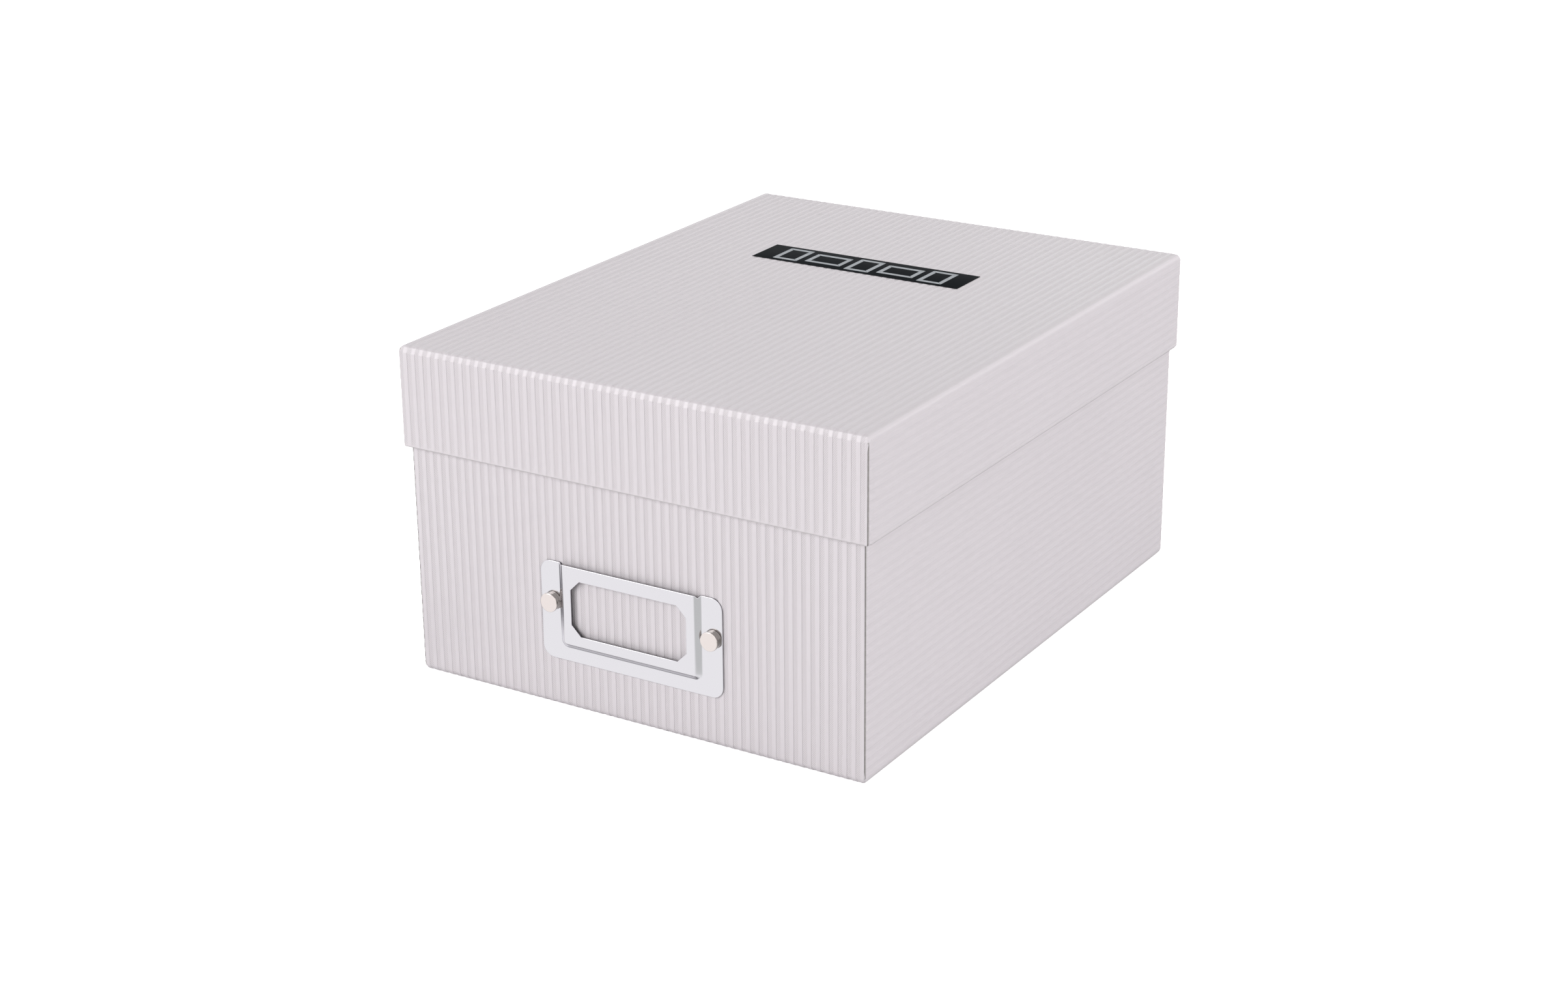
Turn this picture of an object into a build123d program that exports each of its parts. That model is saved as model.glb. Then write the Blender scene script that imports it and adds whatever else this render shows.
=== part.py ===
from build123d import *
from math import cos, radians, sin, tan
import os

# A photo storage box: a tray of folded board covered in ribbed paper, and a lift-off lid of the
# same make. Millimetres, +Z up. The origin is the centre of the underside, the front faces -Y.

# The clear space inside the base. It holds 4 x 6 in prints standing on their long edge.
cavity_width = 162.2  # X, between the turned-in edges of the cover paper
cavity_length = 210.4  # Y, between the turned-in edges of the cover paper
cavity_height = 108.2  # Z, from the lined floor to the rim

# The sheets the box is made from
cover_paper = 0.3  # embossed cover paper, measured over its ribs
lining_paper = 0.15
base_board_thickness = 1.5
lid_board_thickness = 1.0
stay_tape = 0.15  # gummed tape over the board's corners, pressed in flush
label_foil = 0.12

# Folds and corners, measured on the outside of the cover paper unless they say otherwise
fold_radius = 2.3  # scored folds between the floor, or the lid's top, and the walls
board_fold_inside = 0.3  # radius left inside the board where its score closes
corner_radius = 1.0  # upright corners, where two walls meet
rim_rounding = 0.2  # cover paper bent over the cut edge of the board
base_turn_in = 15.0  # cover paper turned in over the base's rim
lid_turn_in = 12.0
corner_slit = 0.1  # gap between the edge of one wall and the face of the next
stay_leg = 14.0  # width of a corner stay on each of its two walls

# The lid's fit over the base
lid_clearance = 0.2  # on each side
lid_rim_depth = 33.7  # outside height of the lid

# The label holder, pressed from sheet steel. Its raised pocket is open at the top.
holder_width = 67.3
holder_height = 33.0
holder_bottom = 16.75  # lower edge above the underside of the box
holder_corner = 4.0
holder_sheet = 0.5
pocket_side_margin = 7.35  # flange beside the pocket
pocket_bottom_margin = 4.7  # flange below the pocket
pocket_rise = 1.5
pocket_corner = 2.65
flank_angle = 51  # of the pocket's flanks, from the direction of the press
bend_rounding = 1.6  # outside of the pocket's bends
flank_notch_depth = 0.8  # relief cut in the top end of each flank
window_width = 42.9
window_height = 18.6
window_top_margin = 4.5  # pocket face above the window
window_chamfer = 3.4

# Double-cap rivets: a head with a tube in front, and a cap with a post behind
rivet_inset = 3.85  # rivet axis from the side edge of the label holder
rivet_head_radius = 3.4
rivet_head_thickness = 1.85
rivet_head_rounding = 0.45
rivet_cap_radius = 3.2
rivet_cap_thickness = 1.0
rivet_cap_rounding = 0.35
rivet_tube_radius = 1.6
rivet_post_radius = 1.05
rivet_clearance = 0.05  # around the tube in its holes, and around the post in the tube
rivet_end_gap = 0.2  # between the post's end and the bottom of the tube

# The black title label on the lid
label_width = 80.2
label_length = 16.7
label_offset_x = -2.0  # label centre from the lid's centre
label_offset_y = 40.3

# Sizes that follow from those above
base_wall = cover_paper + base_board_thickness + cover_paper
base_width = cavity_width + 2 * base_wall
base_length = cavity_length + 2 * base_wall
base_height = cover_paper + base_board_thickness + lining_paper + cavity_height
lid_wall = cover_paper + lid_board_thickness + cover_paper
lid_width = base_width + 2 * (lid_clearance + lid_wall)
lid_length = base_length + 2 * (lid_clearance + lid_wall)
lid_top = base_height + lining_paper + lid_board_thickness + cover_paper
lid_bottom = lid_top - lid_rim_depth
rivet_x = holder_width / 2 - rivet_inset
pocket_half_foot = holder_width / 2 - pocket_side_margin
pocket_bottom = holder_bottom + pocket_bottom_margin
holder_top = holder_bottom + holder_height
flank_run = pocket_rise * tan(radians(flank_angle))
window_centre_z = holder_top - window_top_margin - window_height / 2
wall_at_rivet = cover_paper + base_board_thickness + lining_paper
rivet_places = ((-rivet_x, window_centre_z), (rivet_x, window_centre_z))


def tray_block(width, length, closed_z, open_z, fold, corner):
    """Solid block in the outline of a folded tray, with its folds rounded at the closed end.

    Each pair of folds runs straight through to the corners, as a scored sheet folds.
    """
    low, high = min(closed_z, open_z), max(closed_z, open_z)
    closed_end = 0 if closed_z < open_z else -1
    with BuildPart() as block:
        with BuildSketch(Plane.XY.offset(low)) as plan:
            Rectangle(width, length)
            if corner > 0:
                fillet(plan.vertices(), corner)
        extrude(amount=high - low)
        for plane, span, depth in ((Plane.XZ, width, length), (Plane.YZ, length, width)):
            with BuildSketch(plane) as section:
                with Locations((0, (low + high) / 2)):
                    Rectangle(span, high - low)
                if fold > 0:
                    fillet(section.vertices().group_by(Axis.Y)[closed_end], fold)
            extrude(amount=depth / 2, both=True, mode=Mode.INTERSECT)
    return block.part


class Tray:
    """One covered tray, built inwards from the outer face of its cover paper."""

    def __init__(self, width, length, closed_z, open_z, board, turn_in, holes=()):
        self.width, self.length = width, length
        self.closed_z, self.open_z = closed_z, open_z
        self.board, self.turn_in = board, turn_in
        self.holes = holes
        self.inward = 1 if open_z > closed_z else -1
        self.board_end = open_z - self.inward * cover_paper  # cut edge of the board
        self.flap_end = open_z - self.inward * turn_in  # inner edge of the turned-in cover paper

    def outline(self, depth, end_z, fold, corner=0.0):
        """Block whose faces lie at a depth inside the cover paper's outer face."""
        width, length = self.width - 2 * depth, self.length - 2 * depth
        return tray_block(width, length, self.closed_z + self.inward * depth, end_z, fold, corner)

    def board_outline(self):
        """Block in the outline of the board's outer face."""
        fold, corner = fold_radius - cover_paper, corner_radius - cover_paper
        return self.outline(cover_paper, self.board_end, fold, corner)

    def cover(self):
        """Cover paper: outer sheet, bend over the rim and turned-in flap."""
        outer_face = self.outline(0, self.open_z, fold_radius, corner_radius)
        board_space = self.board_outline()
        hollow = cover_paper + self.board
        mouth = hollow + cover_paper
        with BuildPart() as sheet:
            add(outer_face)
            add(board_space, mode=Mode.SUBTRACT)
            with BuildSketch(Plane.XY.offset(self.open_z)):
                Rectangle(self.width - 2 * mouth, self.length - 2 * mouth)
            extrude(amount=-self.inward * cover_paper, mode=Mode.SUBTRACT)
            with BuildSketch(Plane.XY.offset(self.board_end)):
                Rectangle(self.width - 2 * hollow, self.length - 2 * hollow)
                Rectangle(self.width - 2 * mouth, self.length - 2 * mouth, mode=Mode.SUBTRACT)
            extrude(amount=self.flap_end - self.board_end)
            rim = sheet.faces().filter_by(Plane.XY).sort_by(Axis.Z, reverse=self.inward < 0)[-1]
            fillet(rim.edges(), rim_rounding)
            add(self.holes, mode=Mode.SUBTRACT)
        return sheet.part

    def corner_stay(self, side_x, side_y):
        """Corner stay: an L of tape round one upright corner of the board, flush with its faces."""
        width, length = self.width - 2 * cover_paper, self.length - 2 * cover_paper
        corner = corner_radius - cover_paper
        start = self.closed_z + self.inward * fold_radius
        with BuildPart() as tape:
            with BuildSketch(Plane.XY.offset(start)):
                RectangleRounded(width, length, corner)
                RectangleRounded(
                    width - 2 * stay_tape,
                    length - 2 * stay_tape,
                    corner - stay_tape,
                    mode=Mode.SUBTRACT,
                )
                with Locations((side_x * (width - stay_leg) / 2, side_y * (length - stay_leg) / 2)):
                    Rectangle(stay_leg, stay_leg, mode=Mode.INTERSECT)
            extrude(amount=self.board_end - start)
        return tape.part

    def board_tray(self, stays):
        """Board: scored and folded up, slit where one wall's edge meets the next wall's face."""
        hollow = cover_paper + self.board
        outer_face = self.board_outline()
        inner_face = self.outline(hollow, self.open_z, board_fold_inside)
        slit_start = self.closed_z + self.inward * max(fold_radius, hollow)
        slit_x = (self.width - cover_paper - hollow) / 2
        slit_y = (self.length - corner_slit) / 2 - hollow
        with BuildPart() as board:
            add(outer_face)
            add(inner_face, mode=Mode.SUBTRACT)
            with BuildSketch(Plane.XY.offset(slit_start)):
                with GridLocations(2 * slit_x, 2 * slit_y, 2, 2):
                    Rectangle(self.board, corner_slit)
            extrude(amount=self.open_z - slit_start, mode=Mode.SUBTRACT)
            add(stays, mode=Mode.SUBTRACT)
            add(self.holes, mode=Mode.SUBTRACT)
        return board.part

    def lining(self):
        """Lining: plain paper over the closed end and the walls, up to the turned-in flap."""
        hollow = cover_paper + self.board
        pasted_face = self.outline(hollow, self.flap_end, board_fold_inside)
        open_fold = board_fold_inside - lining_paper
        open_face = self.outline(hollow + lining_paper, self.open_z, open_fold)
        with BuildPart() as sheet:
            add(pasted_face)
            add(open_face, mode=Mode.SUBTRACT)
            add(self.holes, mode=Mode.SUBTRACT)
        return sheet.part


def finish(piece, name):
    """Label a finished piece and write it under its own name."""
    piece.label = name
    export_step(piece, f"parts/{name}.step")


os.makedirs("parts", exist_ok=True)

# Planes of the front wall, all facing forwards: its lining, its cover paper and the label holder
cover_plane = Plane.XZ.offset(base_length / 2)
lining_plane = cover_plane.offset(-wall_at_rivet)
flange_plane = cover_plane.offset(holder_sheet)

# The rivets' holes through the front wall
with BuildPart() as rivet_holes:
    with BuildSketch(lining_plane):
        with Locations(*rivet_places):
            Circle(rivet_tube_radius + rivet_clearance)
    extrude(amount=wall_at_rivet)

# The two trays. Each is a board with corner stays, a cover paper and a lining.
base = Tray(
    base_width,
    base_length,
    closed_z=0,
    open_z=base_height,
    board=base_board_thickness,
    turn_in=base_turn_in,
    holes=rivet_holes.solids(),
)
lid = Tray(
    lid_width,
    lid_length,
    closed_z=lid_top,
    open_z=lid_bottom,
    board=lid_board_thickness,
    turn_in=lid_turn_in,
)
for tray, name in ((base, "base"), (lid, "lid")):
    stays = []
    for end, side_y in (("front", -1), ("back", 1)):
        for side, side_x in (("left", -1), ("right", 1)):
            stays.append(tray.corner_stay(side_x, side_y))
            finish(stays[-1], f"{name}_stay_{end}_{side}")
    finish(tray.board_tray(stays), f"{name}_board")
    finish(tray.cover(), f"{name}_wrap")
    finish(tray.lining(), f"{name}_lining")

# Title label, pasted flat on the lid
with BuildPart() as title_label:
    with BuildSketch(Plane.XY.offset(lid_top)):
        with Locations((label_offset_x, label_offset_y)):
            Rectangle(label_width, label_length)
    extrude(amount=label_foil)
finish(title_label.part, "title_label")

# Label holder: a flange with rounded corners and a pocket pressed up out of it. The pocket is drawn
# past the top edge and trimmed there, so that a card slides in from above.
inner_foot_inset = holder_sheet * (cos(radians(flank_angle)) - tan(radians(flank_angle)) * (
    1 - sin(radians(flank_angle))))
pocket_overrun = 2 * flank_run + holder_sheet
with BuildPart() as label_holder:
    with BuildSketch(cover_plane):
        with Locations((0, holder_bottom + holder_height / 2)):
            RectangleRounded(holder_width, holder_height, holder_corner)
    extrude(amount=holder_sheet)
    for plane, inset, mode in (
        (flange_plane, 0, Mode.ADD),
        (cover_plane, inner_foot_inset, Mode.SUBTRACT),
    ):
        with BuildSketch(plane) as foot:
            foot_bottom = pocket_bottom + inset
            foot_height = holder_top + pocket_overrun - foot_bottom
            with Locations((0, foot_bottom + foot_height / 2)):
                Rectangle(2 * (pocket_half_foot - inset), foot_height)
            fillet(foot.vertices(), pocket_corner - inset)
        extrude(amount=pocket_rise, taper=flank_angle, mode=mode)
    with BuildSketch(cover_plane):
        with Locations((0, holder_top + pocket_overrun)):
            Rectangle(holder_width, 2 * pocket_overrun)
    extrude(amount=holder_sheet + 2 * pocket_rise, mode=Mode.SUBTRACT)
    pocket_face = label_holder.faces().filter_by(Plane.XZ).sort_by(Axis.Y)[0]
    face_bends = pocket_face.edges().filter_by(
        lambda edge: edge.center().Z < holder_top - bend_rounding)
    fillet(face_bends, bend_rounding)
    with BuildSketch(cover_plane) as cuts:
        with Locations((0, window_centre_z)):
            Rectangle(window_width, window_height)
        chamfer(cuts.vertices(), window_chamfer)
        with Locations(*rivet_places):
            Circle(rivet_tube_radius + rivet_clearance)
        for side_x in (-1, 1):
            with BuildLine():
                Polyline(
                    (side_x * (pocket_half_foot - flank_run), holder_top),
                    (side_x * pocket_half_foot, holder_top),
                    (side_x * (pocket_half_foot - flank_run / 2), holder_top - flank_notch_depth),
                    close=True,
                )
            make_face()
    extrude(amount=holder_sheet + 2 * pocket_rise, mode=Mode.SUBTRACT)
finish(label_holder.part, "label_holder")

# Rivets: in front a head with a tube through the wall, behind a cap whose post enters the tube
for name, place in zip(("left", "right"), rivet_places):
    with BuildPart() as rivet:
        with BuildSketch(flange_plane):
            with Locations(place):
                Circle(rivet_head_radius)
        extrude(amount=rivet_head_thickness)
        fillet(rivet.faces().sort_by(Axis.Y)[0].edges(), rivet_head_rounding)
        with BuildSketch(flange_plane):
            with Locations(place):
                Circle(rivet_tube_radius)
        extrude(amount=-(holder_sheet + wall_at_rivet))
        with BuildSketch(lining_plane):
            with Locations(place):
                Circle(rivet_post_radius + rivet_clearance)
        extrude(amount=wall_at_rivet + holder_sheet, mode=Mode.SUBTRACT)
    finish(rivet.part, f"rivet_{name}")
    with BuildPart() as rivet_cap:
        with BuildSketch(lining_plane):
            with Locations(place):
                Circle(rivet_cap_radius)
        extrude(amount=-rivet_cap_thickness)
        fillet(rivet_cap.faces().sort_by(Axis.Y)[-1].edges(), rivet_cap_rounding)
        with BuildSketch(lining_plane):
            with Locations(place):
                Circle(rivet_post_radius)
        extrude(amount=wall_at_rivet + holder_sheet - rivet_end_gap)
    finish(rivet_cap.part, f"rivet_cap_{name}")
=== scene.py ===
from cmath import rect
from math import ceil, copysign, cos, floor, hypot, pi, radians, sin, sqrt, tan

import bmesh
import bpy
from mathutils import Matrix, Vector


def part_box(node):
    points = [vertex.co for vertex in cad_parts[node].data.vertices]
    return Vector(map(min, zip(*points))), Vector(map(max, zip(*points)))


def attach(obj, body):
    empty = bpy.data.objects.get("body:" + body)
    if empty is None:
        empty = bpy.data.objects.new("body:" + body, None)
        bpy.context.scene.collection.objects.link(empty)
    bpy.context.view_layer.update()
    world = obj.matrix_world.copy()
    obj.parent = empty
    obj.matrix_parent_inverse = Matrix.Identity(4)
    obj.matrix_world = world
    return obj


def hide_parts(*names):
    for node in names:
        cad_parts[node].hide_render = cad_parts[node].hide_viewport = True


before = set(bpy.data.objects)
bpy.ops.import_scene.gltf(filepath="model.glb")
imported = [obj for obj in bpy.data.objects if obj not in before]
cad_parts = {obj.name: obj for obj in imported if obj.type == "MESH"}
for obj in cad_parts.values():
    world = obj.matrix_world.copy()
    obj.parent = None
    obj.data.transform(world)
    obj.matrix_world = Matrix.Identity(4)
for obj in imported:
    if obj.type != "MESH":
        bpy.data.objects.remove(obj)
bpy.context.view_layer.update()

MM = 0.001
scene = bpy.context.scene


# ---- Camera
# A standing product shot from the front right and a little above, with a 63 mm lens.
camera_azimuth, camera_elevation, camera_roll = radians(31.551), radians(20.862), radians(-0.451)
camera_distance = 902.9 * MM
camera_target = Vector((4.49, -24.08, 51.0)) * MM
camera_back = Vector((
    sin(camera_azimuth) * cos(camera_elevation),
    -cos(camera_azimuth) * cos(camera_elevation),
    sin(camera_elevation),
))
camera_data = bpy.data.cameras.new("studio_camera")
camera_data.lens = 62.893
camera_data.sensor_width = 36.0
camera = bpy.data.objects.new("studio_camera", camera_data)
camera.matrix_world = (
    Matrix.Translation(camera_target + camera_back * camera_distance)
    @ camera_back.to_track_quat("Z", "Y").to_matrix().to_4x4()
    @ Matrix.Rotation(camera_roll, 4, "Z")
)
scene.collection.objects.link(camera)
scene.camera = camera


# ---- Studio
# A white sweep under the box and white all round it, lit by a softbox in front, a little left and
# above, and by another on the right.
def linear(code):
    """Linear RGBA of an sRGB hex colour."""
    parts = [int(code[i:i + 2], 16) / 255 for i in (1, 3, 5)]
    return (*(p / 12.92 if p <= 0.04045 else ((p + 0.055) / 1.055) ** 2.4 for p in parts), 1.0)


def add_node(tree, kind, inputs, **settings):
    """Add a node. An input takes a value, or the socket that it is linked from."""
    node = tree.nodes.new(kind)
    for name, value in settings.items():
        setattr(node, name, value)
    for name, value in inputs.items():
        if isinstance(value, bpy.types.NodeSocket):
            tree.links.new(value, node.inputs[name])
        else:
            node.inputs[name].default_value = value
    return node


scene.view_settings.view_transform = "Standard"

# The world: white to the eye and in mirrors, but only a weak fill for matt surfaces
ambient_level = 0.28
world = bpy.data.worlds.new("white_studio")
world.use_nodes = True
scene.world = world
tree = world.node_tree
tree.nodes.clear()
path = add_node(tree, "ShaderNodeLightPath", {})
seen = add_node(tree, "ShaderNodeMath", {
    0: path.outputs["Is Camera Ray"], 1: path.outputs["Is Glossy Ray"]}, operation="MAXIMUM")
seen = add_node(tree, "ShaderNodeMath", {
    0: seen.outputs[0], 1: path.outputs["Is Transmission Ray"]}, operation="MAXIMUM")
level = add_node(tree, "ShaderNodeMapRange", {0: seen.outputs[0], 3: ambient_level, 4: 1.0})
background = add_node(tree, "ShaderNodeBackground", {
    "Color": linear("#FFFFFF"), "Strength": level.outputs[0]})
add_node(tree, "ShaderNodeOutputWorld", {"Surface": background.outputs[0]})

# The sweep. The camera sees it white; what it lights and what mirrors it get its own light grey.
floor_size = 6.0
floor_drop = 0.1 * MM
mesh = bpy.data.meshes.new("floor")
bm = bmesh.new()
bmesh.ops.create_grid(bm, x_segments=1, y_segments=1, size=floor_size / 2)
bmesh.ops.translate(bm, verts=bm.verts, vec=(0, 0, -floor_drop))
bm.to_mesh(mesh)
bm.free()
floor_piece = bpy.data.objects.new("floor", mesh)
scene.collection.objects.link(floor_piece)
material = bpy.data.materials.new("white_sweep")
material.use_nodes = True
mesh.materials.append(material)
tree = material.node_tree
tree.nodes.clear()
path = add_node(tree, "ShaderNodeLightPath", {})
geometry = add_node(tree, "ShaderNodeNewGeometry", {})
spot = add_node(tree, "ShaderNodeSeparateXYZ", {"Vector": geometry.outputs["Position"]})
matt = add_node(tree, "ShaderNodeBsdfDiffuse", {"Color": linear("#E2E2E2")})
lift = add_node(tree, "ShaderNodeEmission", {"Color": linear("#FFFFFF"), "Strength": 0.80})
shown = add_node(tree, "ShaderNodeAddShader", {0: matt.outputs[0], 1: lift.outputs[0]})

# Mirrors see it as a painted reflection, light grey, with the box's shadow painted in: greyer to
# the right, and dark from the box's front wall back. Left of the box the dark starts a little
# further forward.
to_right = add_node(tree, "ShaderNodeMapRange", {
    0: spot.outputs["X"], 1: 20 * MM, 2: 65 * MM})
mirrored_shade = add_node(tree, "ShaderNodeMix", {
    0: to_right.outputs[0], 6: linear("#F8F8F8"), 7: linear("#CACCCA")}, data_type="RGBA")
behind_front = add_node(tree, "ShaderNodeMapRange", {
    0: spot.outputs["Y"], 1: -116 * MM, 2: -110 * MM})
past_left = add_node(tree, "ShaderNodeMapRange", {
    0: spot.outputs["X"], 1: -80 * MM, 2: -100 * MM})
near_front = add_node(tree, "ShaderNodeMapRange", {
    0: spot.outputs["Y"], 1: -160 * MM, 2: -145 * MM})
left_side = add_node(tree, "ShaderNodeMath", {
    0: past_left.outputs[0], 1: near_front.outputs[0]}, operation="MULTIPLY")
dark = add_node(tree, "ShaderNodeMath", {
    0: behind_front.outputs[0], 1: left_side.outputs[0]}, operation="MAXIMUM")
mirrored_shade = add_node(tree, "ShaderNodeMix", {
    0: dark.outputs[0], 6: mirrored_shade.outputs[2], 7: linear("#7C7C7E")}, data_type="RGBA")
painted_reflection = add_node(tree, "ShaderNodeEmission", {"Color": mirrored_shade.outputs[2], "Strength": 1.0})
surface = add_node(tree, "ShaderNodeMixShader", {
    0: path.outputs["Is Camera Ray"], 1: matt.outputs[0], 2: shown.outputs[0]})
surface = add_node(tree, "ShaderNodeMixShader", {
    0: path.outputs["Is Glossy Ray"], 1: surface.outputs[0], 2: painted_reflection.outputs[0]})
clear = add_node(tree, "ShaderNodeBsdfTransparent", {})
one_sided = add_node(tree, "ShaderNodeMixShader", {
    0: geometry.outputs["Backfacing"], 1: surface.outputs[0], 2: clear.outputs[0]})
add_node(tree, "ShaderNodeOutputMaterial", {"Surface": one_sided.outputs[0]})


def bearing(azimuth, elevation):
    """Direction in degrees: azimuth from the front towards the right, elevation upwards."""
    turn, rise = radians(azimuth), radians(elevation)
    return Vector((sin(turn) * cos(rise), -cos(turn) * cos(rise), sin(rise)))


# Softboxes: name, azimuth, elevation, distance, width, height, level on a facing surface. Only
# the small one on the left shows in gloss, and it lights nothing else.
for name, azimuth, elevation, distance, width, height, level in (
    ("softbox_front", -12, 25, 1.80, 1.72, 1.20, 0.765),
    ("softbox_right", 108, 18, 2.20, 1.50, 1.00, 0.69),
    ("softbox_for_gloss", -34, 31, 1.80, 0.90, 0.90, 0.16),
):
    lamp_data = bpy.data.lights.new(name, "AREA")
    lamp_data.shape = "RECTANGLE"
    lamp_data.size, lamp_data.size_y = width, height
    lamp_data.energy = level * pi * distance ** 2 * pi
    lamp = bpy.data.objects.new(name, lamp_data)
    lamp.rotation_mode = "QUATERNION"
    lamp.rotation_quaternion = bearing(azimuth, elevation).to_track_quat("Z", "Y")
    lamp.location = bearing(azimuth, elevation) * distance
    lamp.visible_glossy = name == "softbox_for_gloss"
    lamp.visible_diffuse = not lamp.visible_glossy
    scene.collection.objects.link(lamp)

# Low fills for the walls that face away: name, azimuth, elevation, level
for name, azimuth, elevation, level in (
    ("fill_left", -105, 8, 0.55),
    ("fill_back", 185, 8, 0.40),
):
    lamp_data = bpy.data.lights.new(name, "SUN")
    lamp_data.energy = level * pi
    lamp_data.angle = radians(40)
    lamp = bpy.data.objects.new(name, lamp_data)
    lamp.rotation_mode = "QUATERNION"
    lamp.rotation_quaternion = bearing(azimuth, elevation).to_track_quat("Z", "Y")
    lamp.visible_glossy = False
    scene.collection.objects.link(lamp)


# ---- Cover papers
# White pearl paper, embossed with ribs and, between them, a fine twill. One sheet is cut to a
# cross, glued over each tray, folded up its walls and turned in over the rims. The front and
# back flaps end near the upright corners, over tabs of the side walls' paper.
rib_pitch = 3.089
rib_half_width = 0.68
rib_slope_end = 0.88  # foot of the slope, from the middle of the rib
rib_points = (0.36, rib_half_width, 0.78, rib_slope_end, rib_pitch / 2)
rib_dish = 0.02
groove_depth = 0.17
relief_flat, relief_side, relief_rim = 0.42, 0.2, 0.25  # share of it that each place keeps
relief_blend = 0.5  # where the side's relief gives way to the front's, at an upright corner
paper_sheet = 0.13
fold_radius = 2.3
fold_rows = (0, 20, 38, 41, 44, 65, 82, 86, 89, 90)  # degrees round a fold
facet_lean, facet_half = radians(65), radians(24)  # where the folder rubbed the fold flat
fold_depth = 0.22  # deepest place in the fold
corner_radius = 1.0
corner_steps = 3
rim_radius = 0.35
rim_fade_start, rim_fade_end = 1.0, 0.2  # where the relief is pressed out, before the rim
rim_painted_shade = 0.5  # how dark the painted shade along the rims is
tab_length = 8.0
tab_depth = 0.20
tab_over_rim = 0.9  # how far the paper at a corner goes over the rim
seam_width = 0.6
flap_edge_pull, pull_middle, pull_length = 0.24, 1.4, 2.4  # how the fold draws in a flap's edge
line_gap = 0.06  # least distance from a rib's line to a fold's


def smooth_step(value):
    """Ease from 0 to 1."""
    value = min(max(value, 0.0), 1.0)
    return value * value * (3 - 2 * value)


def emboss(place):
    """Depth of the embossing at a distance from the middle of a rib."""
    place = abs((place + rib_pitch / 2) % rib_pitch - rib_pitch / 2)
    if place < rib_half_width:
        return rib_dish * (1 - (place / rib_half_width) ** 2)
    slope = (place - rib_half_width) / (rib_slope_end - rib_half_width)
    return groove_depth * smooth_step(slope)


def rubbed_flat(turn):
    """Depth to which the folder pressed the round of a fold, at an angle from the closed end."""
    lean = abs(turn - facet_lean)
    return fold_radius * (1 - cos(facet_half) / cos(lean)) if lean < facet_half else 0.0


def along_path(runs, distance):
    """Place and outward direction in a section, a distance along runs of paper.

    A run is (length, radius): straight where the radius is 0, or else a turn to the left.
    """
    place, heading = 0j, 1 + 0j
    for length, radius in runs:
        step = max(0.0, min(distance, length))
        if radius:
            turned = heading * rect(1, step / radius)
            place += 1j * radius * (heading - turned)
            heading = turned
        else:
            place += heading * step
        distance -= step
    return place, -1j * heading


def round_corner(distance, reach, radius):
    """Place and angle in plan, from a side wall round an upright corner to the next wall."""
    straight = reach - radius
    if distance <= straight or radius <= 0:
        return complex(reach, distance), 0.0
    angle = min((distance - straight) / radius, pi / 2)
    past = max(0.0, distance - straight - radius * pi / 2)
    return complex(straight - past, straight) + rect(radius, angle), angle


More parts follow.
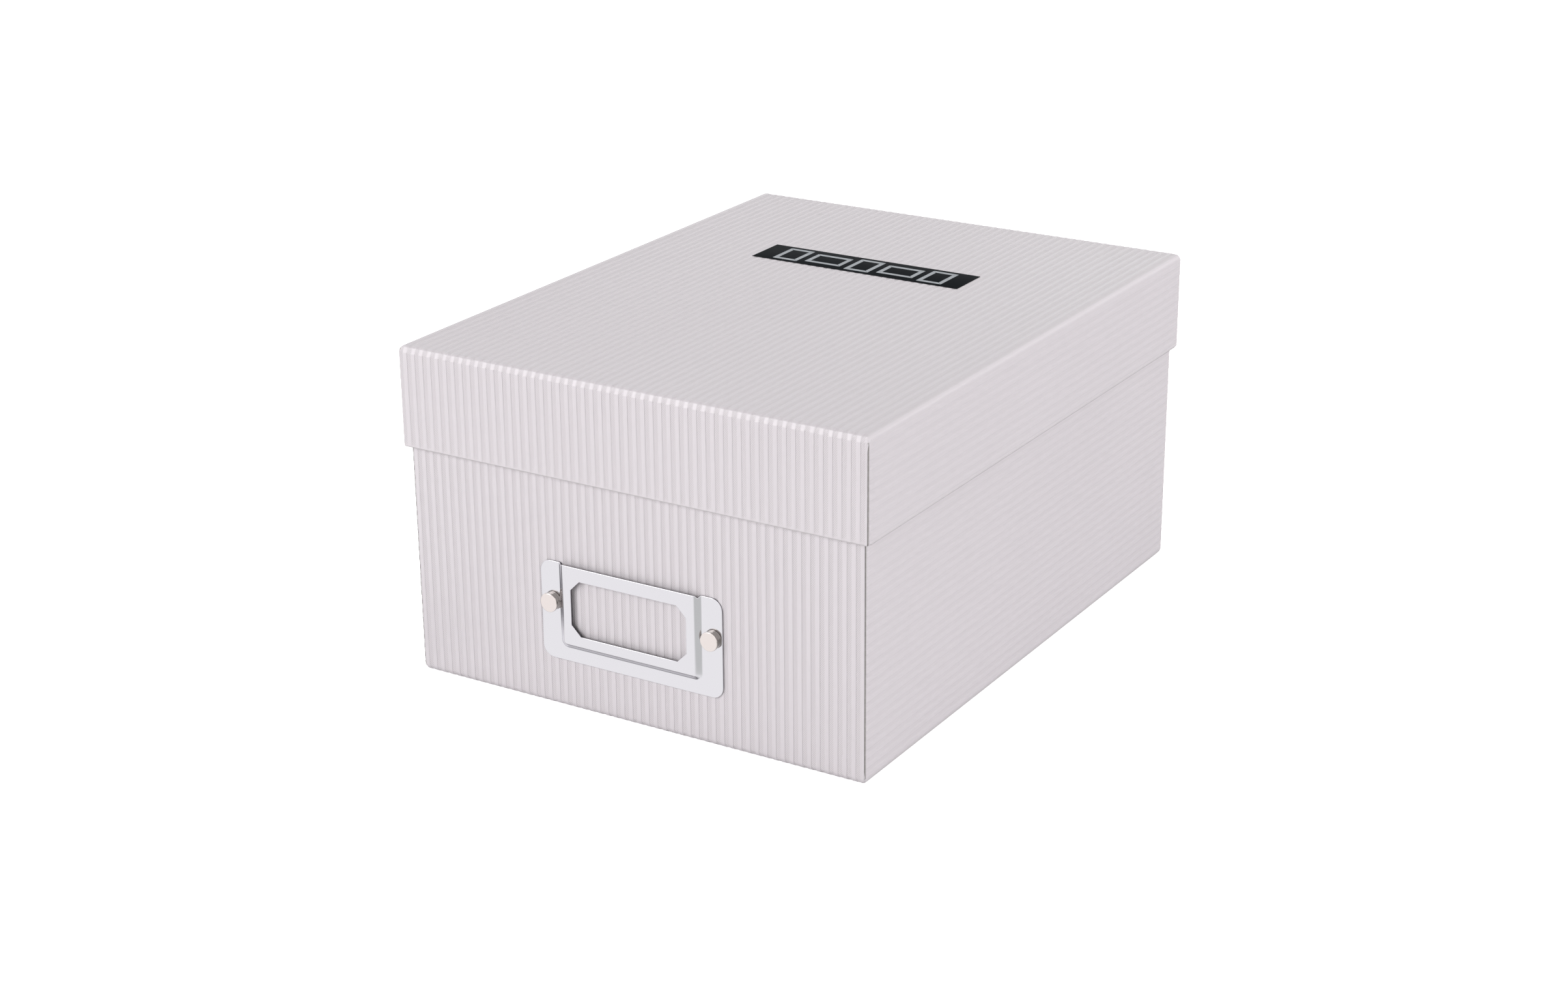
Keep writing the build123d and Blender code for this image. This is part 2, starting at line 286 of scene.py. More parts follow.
def folded_sheet(width, length, height, wall, turn_in, rib_offset, rubbed_share):
    """Cover paper of a tray that stands on its closed end, in millimetres, as a bmesh."""
    flat_x, flat_y = width / 2 - fold_radius, length / 2 - fold_radius
    fold = fold_radius * pi / 2
    bend = rim_radius * pi / 2
    runs = (
        (fold, fold_radius),
        (height - fold_radius - rim_radius, 0),
        (bend, rim_radius),
        (wall - 2 * rim_radius, 0),
        (bend, rim_radius),
        (turn_in - rim_radius, 0),
    )
    wall_end = fold + height - fold_radius - rim_radius
    rim_end = wall_end + 2 * bend + wall - 2 * rim_radius
    sheet_end = rim_end + turn_in - rim_radius
    corner_half = fold_radius - corner_radius + corner_radius * pi / 4

    # Where the sheet is divided: at the ribs across it, and at its folds along it
    bends = [wall_end + bend * i / 2 for i in range(3)]
    bends += [rim_end - bend * i / 2 for i in range(3)] + [sheet_end]
    half_x = [flat_x + fold * i / 4 for i in range(5)]
    half_x += [flat_x + wall_end - d for d in (rim_fade_start, rim_fade_end)]
    half_x += [flat_x + b for b in bends]
    reach = flat_x + sheet_end
    marks = {copysign(x, side) for x in half_x for side in (-1, 1)}
    ribs = set()
    for i in range(floor(-reach / rib_pitch) - 1, ceil(reach / rib_pitch) + 2):
        for point in rib_points:
            for side in (-1, 1):
                ribs.add(round(rib_offset + i * rib_pitch + side * point, 6))
    lines_x = sorted(marks | {
        r for r in ribs if abs(r) < reach and min(abs(r - m) for m in marks) > line_gap})
    half_y = [flat_y + fold * turn / 90 for turn in fold_rows]
    half_y += [flat_y + fold + corner_radius * pi / 4 * i / corner_steps
               for i in range(1, corner_steps + 1)]
    half_y += [flat_y + fold + d for d in (pull_middle, pull_length, tab_length)]
    half_y += [flat_y + wall_end - d for d in (rim_fade_start, rim_fade_end)]
    half_y += [flat_y + b for b in bends]
    lines_y = sorted({copysign(y, side) for y in half_y for side in (-1, 1)})

    bm = bmesh.new()
    bmesh.ops.create_grid(
        bm, x_segments=len(lines_x) - 1, y_segments=len(lines_y) - 1, size=0.5)
    for vert in bm.verts:
        column = round((vert.co.x + 0.5) * (len(lines_x) - 1))
        row = round((vert.co.y + 0.5) * (len(lines_y) - 1))
        vert.co = (lines_x[column], lines_y[row], 0)

    # Cut the sheet to its cross
    def wanted(face):
        centre = face.calc_center_median()
        across, along = abs(centre.x) - flat_x, abs(centre.y) - flat_y
        if across <= fold:
            inside = min(across / fold, 1.0) * corner_half <= fold_radius - wall
            return along <= rim_end - bend / 2 or across <= 0 or inside
        if along <= 0:
            return True
        if along <= fold:
            inside = along / fold * corner_half <= fold_radius - wall
            return across <= wall_end + bend + tab_over_rim or inside
        return along <= fold + tab_length and across <= wall_end
    bmesh.ops.delete(bm, geom=[f for f in bm.faces if not wanted(f)], context="FACES")

    # Slit it between each flap and the tab beside it
    slit = 1e-4
    bmesh.ops.split_edges(bm, edges=[
        e for e in bm.edges
        if all(abs(abs(v.co.x) - flat_x - fold) < slit and abs(v.co.y) > flat_y + fold - slit
               for v in e.verts)])

    # Fold it
    rib_layer = bm.verts.layers.float.new("groove")
    u_layer = bm.verts.layers.float.new("sheet_u")
    v_layer = bm.verts.layers.float.new("sheet_v")
    painted_shade_layer = bm.verts.layers.float.new("painted_shade")
    folded = {}
    for vert in bm.verts:
        u, v = vert.co.x, vert.co.y
        across, along = abs(u) - flat_x, abs(v) - flat_y
        on_tab = across > fold - slit and along > fold - slit and any(
            abs(f.calc_center_median().x) > flat_x + fold for f in vert.link_faces)
        extra = painted_shade = 0.0
        if across <= 0 or along <= 0:
            # On the closed end, or straight up the middle of a wall
            place, out = along_path(runs, max(across, along, 0.0))
            if across > 0:
                spot = Vector((flat_x + place.real, abs(v), place.imag))
                normal = Vector((out.real, 0, out.imag))
            else:
                spot = Vector((abs(u), abs(v) if along <= 0 else flat_y + place.real, place.imag))
                normal = Vector((0, out.real, out.imag))
            on_u, on_v = abs(u), abs(v)
        elif across <= fold + slit and along <= fold + slit:
            # Where two folds meet at a corner of the closed end
            turn = min(max(across, along) / fold_radius, pi / 2)
            reach_now, round_now = fold_radius * sin(turn), corner_radius * sin(turn)
            half = reach_now - round_now + round_now * pi / 4
            share = min(across, along) / max(across, along)
            plan, angle = round_corner(share * half, reach_now, round_now)
            facing = rect(1, angle)
            extra = tab_depth * smooth_step(angle / (pi / 2)) * sin(turn) ** 4
            if along > across:
                plan, facing = complex(plan.imag, plan.real), complex(facing.imag, facing.real)
                extra = 0.0 if share < 0.99 else extra
            # The painted shadow of the flap's cut edge lies close to the diagonal, in the last
            # third of the fold
            painted_shade = max(0.0, (share - 0.9) * 10) * smooth_step((along / fold - 0.66) * 3)
            spot = Vector((flat_x + plan.real, flat_y + plan.imag, fold_radius * (1 - cos(turn))))
            normal = Vector((facing.real * sin(turn), facing.imag * sin(turn), -cos(turn)))
            down_front, down_side = min(along / fold, 1.0), min(across / fold, 1.0)
            on_u = flat_x + across * (1 - down_front) + plan.real * down_front
            on_v = flat_y + along * (1 - down_side) + plan.imag * down_side
        else:
            # Up a wall beside an upright corner, which a side wall's tab goes on round
            main, other = (across, along) if on_tab or across > fold else (along, across)
            place, out = along_path(runs, main)
            if other <= fold:
                distance = other / fold * corner_half
            else:
                distance = corner_half + other - fold
            if main is along:
                pull = flap_edge_pull * smooth_step((along - fold) / pull_length)
                distance -= pull * min(other / fold, 1.0) ** 2
            plan, angle = round_corner(distance, fold_radius, corner_radius)
            inward = fold_radius - place.real
            share = 1 - inward / wall
            first = place.real - (fold_radius - plan.real) * share
            facing = rect(1, angle)
            if main is along:
                spot = Vector((flat_x + plan.imag, flat_y + first, place.imag))
                normal = Vector((facing.imag * out.real, facing.real * out.real, out.imag))
                on_u, on_v = flat_x + plan.imag, abs(v)
            else:
                spot = Vector((flat_x + first, flat_y + plan.imag, place.imag))
                normal = Vector((facing.real * out.real, facing.imag * out.real, out.imag))
                on_u, on_v = abs(u), flat_y + distance
                # Painted shadow of the flap's cut edge, on the tab beside it
                painted_shade = smooth_step((other - fold) / seam_width + 1)
                extra = tab_depth * smooth_step(angle / (pi / 2))
                if main > wall_end:
                    extra = tab_depth * smooth_step(other - 0.5)
        on_u, on_v = copysign(on_u, u), copysign(on_v, v)

        # Emboss it, and press the embossing out where it was rubbed
        relief = relief_flat + (relief_side - relief_flat) * smooth_step(across / fold)
        if along > across and not on_tab:
            share = smooth_step(along / fold) * smooth_step((along - across) / relief_blend)
            relief += (1 - relief) * share
        rim = max(across, along) - wall_end
        rim_share = smooth_step((rim + rim_fade_start) / (rim_fade_start - rim_fade_end))
        relief *= 1 + (relief_rim - 1) * rim_share
        depth = emboss(on_u - rib_offset) * relief
        groove = min(depth / groove_depth, 1.0)
        if 0 < along < fold:
            rubbed = rubbed_share * rubbed_flat(along / fold_radius)
            rubbed *= 1 - smooth_step(across / fold)
            depth = min(depth, fold_depth - rubbed)
            extra += rubbed
        spot -= normal * (depth + extra)
        folded[vert] = Vector((copysign(spot.x, u), copysign(spot.y, v), spot.z))
        vert[rib_layer] = groove
        vert[u_layer], vert[v_layer] = on_u, on_v
        # Painted shade along each rim: the thin shadow line under the lid's rim
        shade = rim_painted_shade * smooth_step(rim / bend + 0.5) * smooth_step(3 - rim / bend)
        vert[painted_shade_layer] = max(painted_shade, shade)
    for vert, spot in folded.items():
        vert.co = spot
    return bm


def finish_paper(bm):
    """Thicken a folded sheet and give it the cover paper's map."""
    bmesh.ops.recalc_face_normals(bm, faces=bm.faces)
    middle = Vector((0, 0, 50))  # inside either tray
    if sum(f.normal.dot(f.calc_center_median() - middle) for f in bm.faces) < 0:
        bmesh.ops.reverse_faces(bm, faces=bm.faces)
    bmesh.ops.solidify(bm, geom=bm.faces[:], thickness=paper_sheet)
    u_layer = bm.verts.layers.float["sheet_u"]
    v_layer = bm.verts.layers.float["sheet_v"]
    uv_layer = bm.loops.layers.uv.new("sheet")
    for face in bm.faces:
        face.smooth = True
        for loop in face.loops:
            loop[uv_layer].uv = (loop.vert[u_layer], loop.vert[v_layer])
    return bm


def make_piece(bm, name, body, material, sharp=35):
    """Turn a bmesh in millimetres into a piece that rides on a body, smooth below an angle."""
    bmesh.ops.scale(bm, verts=bm.verts, vec=(MM, MM, MM))
    mesh = bpy.data.meshes.new(name)
    bm.to_mesh(mesh)
    bm.free()
    mesh.set_sharp_from_angle(angle=radians(sharp))
    mesh.materials.append(material)
    piece = bpy.data.objects.new(name, mesh)
    scene.collection.objects.link(piece)
    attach(piece, body)
    return piece


# Coated pearl paper: a thin gloss on the ribs, duller in the twill. The twill's hatch and the
# darker twill bands are painted shade of its fine relief; painted shade also darkens the paper
# beside the flaps' cut edges in the seams and along the rims. Its fibres roughen it and its tone
# drifts slowly across a sheet.
twill_period = 0.443
twill_lean = radians(53.5)
fibre_size, drift_size = 0.4545, 71.4
cover_material = bpy.data.materials.new("embossed_pearl_paper")
cover_material.use_nodes = True
tree = cover_material.node_tree
shader = tree.nodes["Principled BSDF"]
uv = add_node(tree, "ShaderNodeUVMap", {}, uv_map="sheet")
place = add_node(tree, "ShaderNodeSeparateXYZ", {"Vector": uv.outputs[0]})
groove = add_node(tree, "ShaderNodeAttribute", {}, attribute_name="groove")
twill_u = add_node(tree, "ShaderNodeMath", {
    0: place.outputs["X"], 1: sin(twill_lean) * 2 * pi / twill_period}, operation="MULTIPLY")
twill_v = add_node(tree, "ShaderNodeMath", {
    0: place.outputs["Y"], 1: cos(twill_lean) * 2 * pi / twill_period, 2: twill_u.outputs[0]},
    operation="MULTIPLY_ADD")
twill_wave = add_node(tree, "ShaderNodeMath", {0: twill_v.outputs[0]}, operation="SINE")
twill = add_node(tree, "ShaderNodeMath", {
    0: twill_wave.outputs[0], 1: groove.outputs["Fac"]}, operation="MULTIPLY")
coordinates = add_node(tree, "ShaderNodeTexCoord", {})
fibre = add_node(tree, "ShaderNodeTexNoise", {
    "Vector": coordinates.outputs["Object"], "Scale": 1 / (fibre_size * MM), "Detail": 2.0})
drift = add_node(tree, "ShaderNodeTexNoise", {
    "Vector": coordinates.outputs["Object"], "Scale": 1 / (drift_size * MM), "Detail": 1.0})
# Painted shade of the twill's fine ridges: a dark and light hatch, a little darker on the whole
# than the ribs
tone = add_node(tree, "ShaderNodeMapRange", {
    0: twill.outputs[0], 1: -1.0, 2: 1.0, 3: 0.0, 4: 1.0})
rib_colour = add_node(tree, "ShaderNodeMix", {
    0: drift.outputs["Fac"], 6: linear("#D5CFD3"), 7: linear("#D9D3D7")}, data_type="RGBA")
twill_shaded_colour = add_node(tree, "ShaderNodeMix", {
    0: tone.outputs[0], 6: linear("#C0BABD"), 7: linear("#DAD4D8")}, data_type="RGBA")
colour = add_node(tree, "ShaderNodeMix", {
    0: groove.outputs["Fac"], 6: rib_colour.outputs[2], 7: twill_shaded_colour.outputs[2]},
    data_type="RGBA")
# Painted shadow beside the flaps' cut edges, and painted shade along the rims
painted_shade = add_node(tree, "ShaderNodeAttribute", {}, attribute_name="painted_shade")
colour = add_node(tree, "ShaderNodeMix", {
    0: painted_shade.outputs["Fac"], 6: colour.outputs[2], 7: linear("#7F7B78")}, data_type="RGBA")
roughness = add_node(tree, "ShaderNodeMapRange", {
    0: groove.outputs["Fac"], 3: 0.24, 4: 0.55})
twill_bump = add_node(tree, "ShaderNodeBump", {
    "Height": twill.outputs[0], "Strength": 0.30, "Distance": 0.05 * MM})
fibre_bump = add_node(tree, "ShaderNodeBump", {
    "Height": fibre.outputs["Fac"], "Normal": twill_bump.outputs[0],
    "Strength": 0.10, "Distance": 0.05 * MM})
tree.links.new(colour.outputs[2], shader.inputs["Base Color"])
tree.links.new(roughness.outputs[0], shader.inputs["Roughness"])
tree.links.new(fibre_bump.outputs[0], shader.inputs["Normal"])
shader.inputs["Specular IOR Level"].default_value = 0.6

base_low, base_high = (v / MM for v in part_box("base_wrap"))
base_paper = folded_sheet(
    base_high.x - base_low.x, base_high.y - base_low.y, base_high.z - base_low.z,
    wall=2.1, turn_in=15.0, rib_offset=1.9, rubbed_share=0.0)
base_paper = finish_paper(base_paper)
base_cover = make_piece(base_paper, "base_cover_paper", "base", cover_material)
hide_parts("base_wrap")

lid_low, lid_high = (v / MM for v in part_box("lid_wrap"))
lid_paper = folded_sheet(
    lid_high.x - lid_low.x, lid_high.y - lid_low.y, lid_high.z - lid_low.z,
    wall=1.6, turn_in=12.0, rib_offset=-1.2, rubbed_share=1.0)
lid_paper = finish_paper(lid_paper)
bmesh.ops.transform(
    lid_paper, verts=lid_paper.verts,
    matrix=Matrix.Translation((0, 0, lid_high.z)) @ Matrix.Rotation(pi, 4, "Y"))
lid_cover = make_piece(lid_paper, "lid_cover_paper", "lid", cover_material)
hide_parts("lid_wrap")


# ---- Boards, corner stays and linings
# Grey chipboard trays under the cover paper, with gummed kraft tape round their corners and a
# plain white paper pasted inside.
def fibre_material(name, dark, light, fibre, rough, bump):
    """Uncoated fibrous sheet, from two tones of its pulp and the size of its largest flecks."""
    material = bpy.data.materials.new(name)
    material.use_nodes = True
    tree = material.node_tree
    shader = tree.nodes["Principled BSDF"]
    coordinates = add_node(tree, "ShaderNodeTexCoord", {})
    noise = add_node(tree, "ShaderNodeTexNoise", {
        "Vector": coordinates.outputs["Object"], "Scale": 1 / (fibre * MM), "Detail": 4.0})
    tone = add_node(tree, "ShaderNodeMapRange", {0: noise.outputs["Fac"], 1: 0.3, 2: 0.7})
    colour = add_node(tree, "ShaderNodeMix", {
        0: tone.outputs[0], 6: linear(dark), 7: linear(light)}, data_type="RGBA")
    relief = add_node(tree, "ShaderNodeBump", {
        "Height": noise.outputs["Fac"], "Strength": bump, "Distance": 0.1 * MM})
    tree.links.new(colour.outputs[2], shader.inputs["Base Color"])
    tree.links.new(relief.outputs[0], shader.inputs["Normal"])
    shader.inputs["Roughness"].default_value = rough
    return material


# All three are matt: the board flecked grey, the tape brown and smoother, the lining off-white.
greyboard = fibre_material("uncoated_greyboard", "#8E8880", "#A59F96", 1.11, 0.9, 0.5)
kraft = fibre_material("gummed_kraft_tape", "#B08D62", "#C3A276", 1.43, 0.75, 0.3)
lining = fibre_material("lining_paper", "#E4E1DE", "#ECEAE7", 1.67, 0.8, 0.2)
for name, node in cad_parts.items():
    if "_stay_" in name:
        node_material = kraft
    elif name.endswith("_board"):
        node_material = greyboard
    elif name.endswith("_lining"):
        node_material = lining
    else:
        continue
    node.data.materials.clear()
    node.data.materials.append(node_material)


# ---- Label holder
# Pressed from 0.5 mm steel sheet and bright chrome plated, with its blanked edges tumbled round.
# Its raised middle has a window and leaves a pocket behind it, open at the top, for a title card.
# Two rivets hold its flange to the front wall.
wave_size, wipe_size = 5.56, 16.7


def plated_material(name, colour, dull_and_shade_colour, rough_low, rough_high):
    """Bright plating over a buffed pressing, faintly wavy, darker where marked dull_and_shade: on
    sheared edges their duller finish with painted shade, on rivet sides painted shade alone.

    Wiping leaves it glossier in some places than in others.
    """
    material = bpy.data.materials.new(name)
    material.use_nodes = True
    tree = material.node_tree
    shader = tree.nodes["Principled BSDF"]
    coordinates = add_node(tree, "ShaderNodeTexCoord", {})
    waves = add_node(tree, "ShaderNodeTexNoise", {
        "Vector": coordinates.outputs["Object"], "Scale": 1 / (wave_size * MM), "Detail": 2.0})
    wiped = add_node(tree, "ShaderNodeTexNoise", {
        "Vector": coordinates.outputs["Object"], "Scale": 1 / (wipe_size * MM), "Detail": 3.0})
    rough = add_node(tree, "ShaderNodeMapRange", {
        0: wiped.outputs["Fac"], 1: 0.3, 2: 0.7, 3: rough_low, 4: rough_high})
    relief = add_node(tree, "ShaderNodeBump", {
        "Height": waves.outputs["Fac"], "Strength": 0.04, "Distance": 0.2 * MM})
    dull_and_shade = add_node(tree, "ShaderNodeAttribute", {}, attribute_name="dull_and_shade")
    edge = add_node(tree, "ShaderNodeMapRange", {0: dull_and_shade.outputs["Fac"], 1: 0.05, 2: 0.4})
    tint = add_node(tree, "ShaderNodeMix", {
        0: edge.outputs[0], 6: linear(colour), 7: linear(dull_and_shade_colour)}, data_type="RGBA")
    tree.links.new(tint.outputs[2], shader.inputs["Base Color"])
    tree.links.new(rough.outputs[0], shader.inputs["Roughness"])
    tree.links.new(relief.outputs[0], shader.inputs["Normal"])
    shader.inputs["Metallic"].default_value = 1.0
    return material


# Chrome is cool and nearly a mirror; nickel is warmer, and a touch softer.
# The second colour is the dark of marked edges and sides: duller sheared steel with painted shade
# on it, and painted shade on the rivets' sides
chrome = plated_material("bright_chrome_plate", "#EDEBF0", "#626368", 0.08, 0.13)
nickel = plated_material("polished_nickel_plate", "#F4EAE7", "#98928D", 0.10, 0.15)

holder_low, holder_high = (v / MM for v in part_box("label_holder"))
sheet_steel = 0.5
flange_front = holder_high.y - sheet_steel

# The pressing's sizes. A fade is the pair of distances between which a rounded corner, a cut
# corner or a notch gives way to the plain grid.
pocket_rise = 1.5
flank_turn = radians(39)
flank_run = pocket_rise / tan(flank_turn)
flank_half, flank_low = 26.3, 21.45  # where the pocket's flanks meet the flange
pocket_half, pocket_foot = flank_half - flank_run, flank_low + flank_run  # edges of its face
pocket_corner, corner_fade = 0.8, (3.1, 5.0)
bend_out, bend_in = 1.6, 1.0
window_half, window_rise, window_chamfer = 21.45, 9.3, 3.4
above_window = 4.5
window_middle = holder_high.z - above_window - window_rise
chamfer_fade = (0.6, 2.6)
hole_across, hole_radius, hole_reach = 29.8, 1.65, 2.8
flange_corner = 4.0
notch_half, notch_depth = 0.8, 0.8
notch_fade = (3.5, 0.6)
roll_width, roll_depth = 0.24, 0.12
bend_out_reach, bend_in_reach = bend_out * tan(flank_turn / 2), bend_in * tan(flank_turn / 2)


def pocket_height(distance):
    """Height of the pressing above its flange, a distance outwards from the pocket's face."""
    if distance <= -bend_out_reach:
        return pocket_rise
    past = distance + bend_out_reach
    if past <= bend_out * sin(flank_turn):
        return pocket_rise - bend_out + sqrt(bend_out ** 2 - past ** 2)
    left = flank_run + bend_in_reach - distance
    if left <= 0:
        return 0.0
    if left <= bend_in * sin(flank_turn):
        return bend_in - sqrt(bend_in ** 2 - left ** 2)
    return (flank_run - distance) * pocket_rise / flank_run


def towards_round(across, up, fade_from, fade_to):
    """Move a point of nested squares, seen from their middle, towards nested circles."""
    reach = max(abs(across), abs(up))
    share = 1 - smooth_step((reach - fade_from) / (fade_to - fade_from))
    scale = 1 + (reach / max(hypot(across, up), 1e-9) - 1) * share
    return across * scale, up * scale


def pressed_place(x, z):
    """Place in the pressing's plan of a point of a plain grid: round or chamfer its corners."""
    side, x = copysign(1, x), abs(x)
    half = copysign(1, z - window_middle)
    hole_x, hole_z = x - hole_across, z - window_middle
    flange_x = x - holder_high.x + flange_corner
    flange_z = max(holder_low.z + flange_corner - z, z - holder_high.z + flange_corner)
    pocket_x, pocket_z = x - pocket_half + pocket_corner, pocket_foot + pocket_corner - z
    window_x = x - window_half + window_chamfer
    window_z = abs(z - window_middle) - window_rise + window_chamfer
    if max(abs(hole_x), abs(hole_z)) < hole_reach:
        hole_x, hole_z = towards_round(hole_x, hole_z, hole_radius, hole_reach)
        x, z = hole_across + hole_x, window_middle + hole_z
    elif flange_x > 0 and flange_z > 0:
        round_x, round_z = towards_round(flange_x, flange_z, flange_corner, 2 * flange_corner)
        x += round_x - flange_x
        z += (round_z - flange_z) * half
    elif pocket_x > 0 and pocket_z > 0:
        round_x, round_z = towards_round(pocket_x, pocket_z, *corner_fade)
        x += round_x - pocket_x
        z -= round_z - pocket_z
    elif window_x > 0 and window_z > 0:
        past = max(window_x, window_z) - window_chamfer
        share = 1 - smooth_step((past - chamfer_fade[0]) / (chamfer_fade[1] - chamfer_fade[0]))
        scale = min(1.0, (window_chamfer + sqrt(2) * max(past, 0)) / (window_x + window_z))
        x += window_x * (scale - 1) * share
        z += window_z * (scale - 1) * share * half
    notch = max(0.0, 1 - abs(x - pocket_half - flank_run / 2) / notch_half) * notch_depth
    below_top = notch_fade[0] - (holder_high.z - z)
    z -= notch * smooth_step(below_top / (notch_fade[0] - notch_fade[1]))
    return side * x, z


# Lines across and up that divide the sheet, close together where an edge is rolled over, where
# the sheet bends, and in corners
rolled = (0.0, 0.02, 0.06, 0.12, 0.21, 0.32, 0.38)
chamfered = (1.13, 2.27, window_chamfer)
arc_out, arc_in = bend_out * sin(flank_turn), bend_in * sin(flank_turn)
bends = {-bend_out_reach + arc_out * i / 6 for i in range(7)}
bends |= {flank_run + bend_in_reach - arc_in * i / 5 for i in range(6)}
bends |= {-bend_out_reach - 0.08, flank_run / 2, flank_run + bend_in_reach + 0.08}
lines_x = {4.5, 9.0, 13.5, 22.7, 27.3}
lines_x |= {window_half - step for step in chamfered}
lines_x |= {window_half + step for step in rolled}
lines_x |= {pocket_half + bend for bend in bends}
lines_x |= {hole_across + step for step in (-hole_radius, -0.9, 0, 0.8, hole_radius)}
lines_x |= {holder_high.x - step for step in (*rolled, 0.95, 1.55)}
lines_x = sorted(lines_x | {-x for x in lines_x} | {0.0})
lines_z = {24.8, 25.6, 31.6, 33.2, 39.2}
lines_z |= {pocket_foot - bend for bend in bends}
lines_z |= {window_middle + step for step in (-hole_radius, -0.85, 0, 0.85, hole_radius)}
for half in (-1, 1):
    lines_z |= {window_middle + half * (window_rise - step) for step in chamfered}
    lines_z |= {window_middle + half * (window_rise + step) for step in rolled}
lines_z |= {holder_low.z + step for step in (*rolled, 1.05, 1.65, 2.35, 3.15, flange_corner)}
lines_z |= {holder_high.z - step for step in (*rolled, 1.25, 1.95, 2.65, 3.35, flange_corner)}
lines_z = sorted(lines_z)

holder = bmesh.new()
bmesh.ops.create_grid(
    holder, x_segments=len(lines_x) - 1, y_segments=len(lines_z) - 1, size=0.5)
for vert in holder.verts:
    column = round((vert.co.x + 0.5) * (len(lines_x) - 1))
    row = round((vert.co.y + 0.5) * (len(lines_z) - 1))
    vert.co = (lines_x[column], 0, lines_z[row])


def punched_out(face):
    """Whether a face of the grid lies in the window or in a rivet hole."""
    centre = face.calc_center_median()
    x, z = abs(centre.x), abs(centre.z - window_middle)
    return (x < window_half and z < window_rise) or (
        abs(x - hole_across) < hole_radius and z < hole_radius)


bmesh.ops.delete(holder, geom=[f for f in holder.faces if punched_out(f)], context="FACES")
front_layer = holder.verts.layers.float.new("front")
drop_layer = holder.verts.layers.float.new("drop")
dull_and_shade_layer = holder.verts.layers.float.new("dull_and_shade")
for vert in holder.verts:
    x, z = abs(vert.co.x), vert.co.z
    inside = min(holder_high.x - x, z - holder_low.z, holder_high.z - z)
    outside = max(x - window_half, abs(z - window_middle) - window_rise)
    share = max(0.0, 1 - min(inside, max(outside, 0.0)) / roll_width)
    vert[drop_layer] = roll_depth * (1 - sqrt(1 - share ** 2))
    x, z = pressed_place(vert.co.x, z)
    beside, below = abs(x) - pocket_half + pocket_corner, pocket_foot + pocket_corner - z
    distance = hypot(max(beside, 0), max(below, 0)) + min(max(beside, below), 0) - pocket_corner
    vert.co = (x, flange_front - pocket_height(distance), z)
    vert[front_layer] = vert.co.y
bmesh.ops.recalc_face_normals(holder, faces=holder.faces)
if sum(f.normal.y for f in holder.faces) > 0:
    bmesh.ops.reverse_faces(holder, faces=holder.faces)
bmesh.ops.solidify(holder, geom=holder.faces[:], thickness=sheet_steel)
# The back of the sheet and its cut walls are marked: their duller finish with painted shade
for vert in holder.verts:
    if abs(vert.co.y - vert[front_layer]) < 1e-4:
        vert.co.y += vert[drop_layer]
    else:
        vert[dull_and_shade_layer] = 1.0
for face in holder.faces:
    face.smooth = True
holder_piece = make_piece(holder, "label_holder_pressing", "base", chrome, sharp=40)
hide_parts("label_holder")


# ---- Rivets
# Nickel plated double-cap rivets. The head is a cap crimped over a washer, so that its side
# shows a groove; its tube goes through the wall and takes the post of the cap inside.
rivet_head = 1.85
side_shade_top, side_shade_blend = 1.72, 0.15  # the cap's side and washer below this height get painted shade
# Radius and height above the flange, from the middle of the head to the bore of the tube
rivet_profile = (
    (0.0, rivet_head), (2.82, rivet_head), (2.88, rivet_head), (3.02, 1.81), (3.11, 1.72),
    (3.14, 1.60), (3.14, 1.16), (3.10, 1.10), (2.90, 1.06), (2.90, 0.94), (2.98, 0.91),
    (3.00, 0.85), (3.00, 0.12), (2.97, 0.03), (2.92, 0.0), (1.6, 0.0), (1.6, -2.45),
    (1.1, -2.45), (1.1, 0.05), (0.0, 0.05),
)
for side in ("left", "right"):
    low, high = (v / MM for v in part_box(f"rivet_{side}"))
    bm = bmesh.new()
    points = [bm.verts.new((radius, 0, out)) for radius, out in rivet_profile]
    edges = [bm.edges.new(pair) for pair in zip(points, points[1:])]
    bmesh.ops.spin(
        bm, geom=points + edges, cent=(0, 0, 0), axis=(0, 0, 1), angle=2 * pi, steps=64,
        use_merge=True, dvec=(0, 0, 0), use_normal_flip=False, use_duplicate=False)
    bmesh.ops.remove_doubles(bm, verts=bm.verts, dist=1e-4)
    bmesh.ops.recalc_face_normals(bm, faces=bm.faces)
    dull_and_shade_layer = bm.verts.layers.float.new("dull_and_shade")
    # Painted shade on the cap's side and washer, below its flat face
    for vert in bm.verts:
        vert[dull_and_shade_layer] = smooth_step((side_shade_top - vert.co.z) / side_shade_blend)
    for face in bm.faces:
        face.smooth = True
    head_face = low.y + rivet_head
    bmesh.ops.transform(bm, verts=bm.verts, matrix=Matrix.Translation(
        ((low.x + high.x) / 2, head_face, (low.z + high.z) / 2)) @ Matrix.Rotation(pi / 2, 4, "X"))
    rivet = make_piece(bm, f"rivet_head_{side}", "base", nickel, sharp=40)
    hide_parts(f"rivet_{side}")
    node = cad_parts[f"rivet_cap_{side}"]
    node.data.materials.clear()
    node.data.materials.append(nickel)


# ---- Title label
# A strip of black laminated card glued to the lid, foil-stamped in silver with a row of plain
# picture frames.
foil_thickness = 0.02
card_round = 0.03

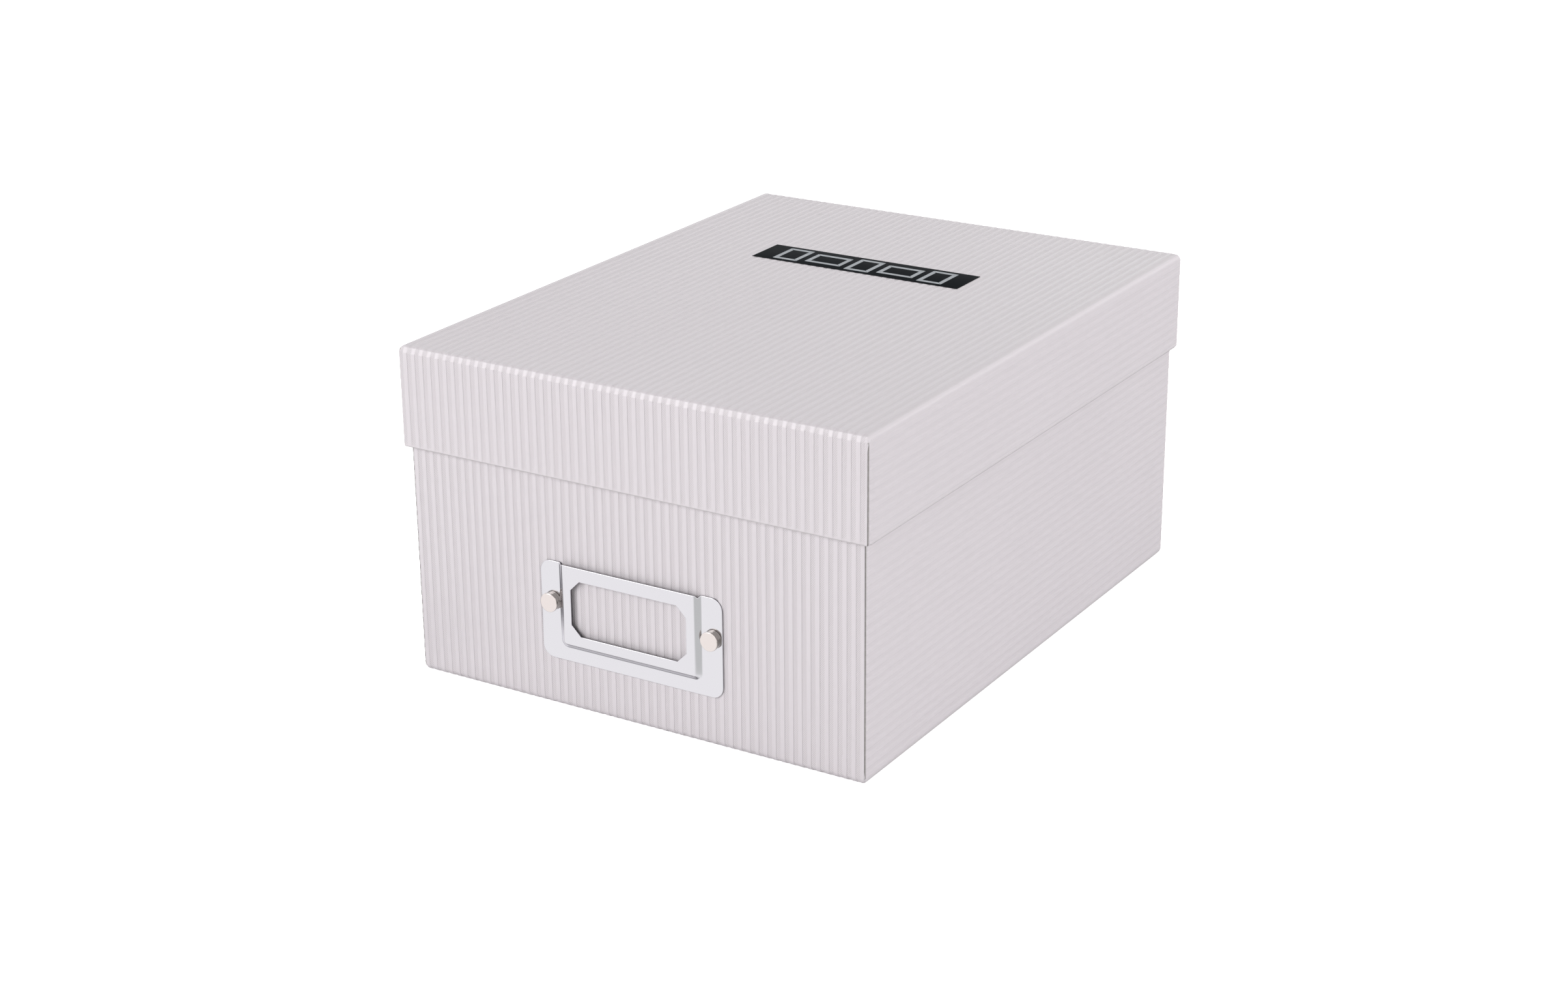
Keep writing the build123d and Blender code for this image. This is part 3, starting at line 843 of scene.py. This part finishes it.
# Laminated card: near black, with a weak, broad sheen and faint scuffs
scuff_size = 2.5
black_card = bpy.data.materials.new("black_laminated_card")
black_card.use_nodes = True
tree = black_card.node_tree
shader = tree.nodes["Principled BSDF"]
coordinates = add_node(tree, "ShaderNodeTexCoord", {})
scuffs = add_node(tree, "ShaderNodeTexNoise", {
    "Vector": coordinates.outputs["Object"], "Scale": 1 / (scuff_size * MM), "Detail": 3.0})
colour = add_node(tree, "ShaderNodeMix", {
    0: scuffs.outputs["Fac"], 6: linear("#0E1114"), 7: linear("#16191C")}, data_type="RGBA")
rough = add_node(tree, "ShaderNodeMapRange", {0: scuffs.outputs["Fac"], 3: 0.6, 4: 0.75})
tree.links.new(colour.outputs[2], shader.inputs["Base Color"])
tree.links.new(rough.outputs[0], shader.inputs["Roughness"])
shader.inputs["Specular IOR Level"].default_value = 0.03
label_low, label_high = (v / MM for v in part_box("title_label"))
label_centre = (label_low + label_high) / 2
bm = bmesh.new()
bmesh.ops.create_cube(bm, size=1.0, matrix=Matrix.Translation(
    (label_centre.x, label_centre.y, (label_low.z + label_high.z - foil_thickness) / 2))
    @ Matrix.Diagonal((label_high.x - label_low.x, label_high.y - label_low.y,
                       label_high.z - label_low.z - foil_thickness, 1)))
bmesh.ops.bevel(bm, geom=bm.edges[:], affect="EDGES", offset=card_round, segments=2,
                profile=0.5, material=-1)
label = make_piece(bm, "title_label_card", "lid", black_card)
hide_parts("title_label")

# Stamped foil: a pale, slightly uneven grey that brightens where it faces a light. The card's
# grain under real foil is about a tenth of a millimetre, and is drawn coarser so that it shows.
foil_grain = 1.11
silver_foil = bpy.data.materials.new("stamped_silver_foil")
silver_foil.use_nodes = True
tree = silver_foil.node_tree
shader = tree.nodes["Principled BSDF"]
coordinates = add_node(tree, "ShaderNodeTexCoord", {})
grain = add_node(tree, "ShaderNodeTexNoise", {
    "Vector": coordinates.outputs["Object"], "Scale": 1 / (foil_grain * MM), "Detail": 2.0})
colour = add_node(tree, "ShaderNodeMix", {
    0: grain.outputs["Fac"], 6: linear("#8F949A"), 7: linear("#B4B8BC")}, data_type="RGBA")
tree.links.new(colour.outputs[2], shader.inputs["Base Color"])
shader.inputs["Metallic"].default_value = 0.6
shader.inputs["Roughness"].default_value = 0.5
frame_line = 1.7
mitre_gap = 0.12
frame_gap = 2.3
upright, lying = (9.6, 13.2), (14.0, 10.0)
frames = (upright, lying, upright, lying, upright)
start = -(sum(size[0] for size in frames) + frame_gap * (len(frames) - 1)) / 2
bm = bmesh.new()
for size in frames:
    made = bmesh.ops.create_grid(bm, x_segments=1, y_segments=1, size=0.5, matrix=(
        Matrix.Translation((label_centre.x + start + size[0] / 2, label_centre.y, label_high.z))
        @ Matrix.Diagonal((*size, 1, 1))))
    start += size[0] + frame_gap
    picture = made["verts"][0].link_faces[0]
    moulding = bmesh.ops.inset_region(
        bm, faces=[picture], thickness=frame_line, use_boundary=True, use_even_offset=True)[
        "faces"]
    bmesh.ops.delete(bm, geom=[picture], context="FACES")
    trimmed = bmesh.ops.inset_individual(
        bm, faces=moulding, thickness=mitre_gap / 2, use_even_offset=True)["faces"]
    bmesh.ops.delete(bm, geom=trimmed, context="FACES")
raised = bmesh.ops.extrude_face_region(bm, geom=bm.faces[:])["geom"]
bmesh.ops.translate(bm, verts=[g for g in raised if isinstance(g, bmesh.types.BMVert)],
                    vec=(0, 0, -foil_thickness))
bmesh.ops.recalc_face_normals(bm, faces=bm.faces)
make_piece(bm, "title_foil_frames", "lid", silver_foil)
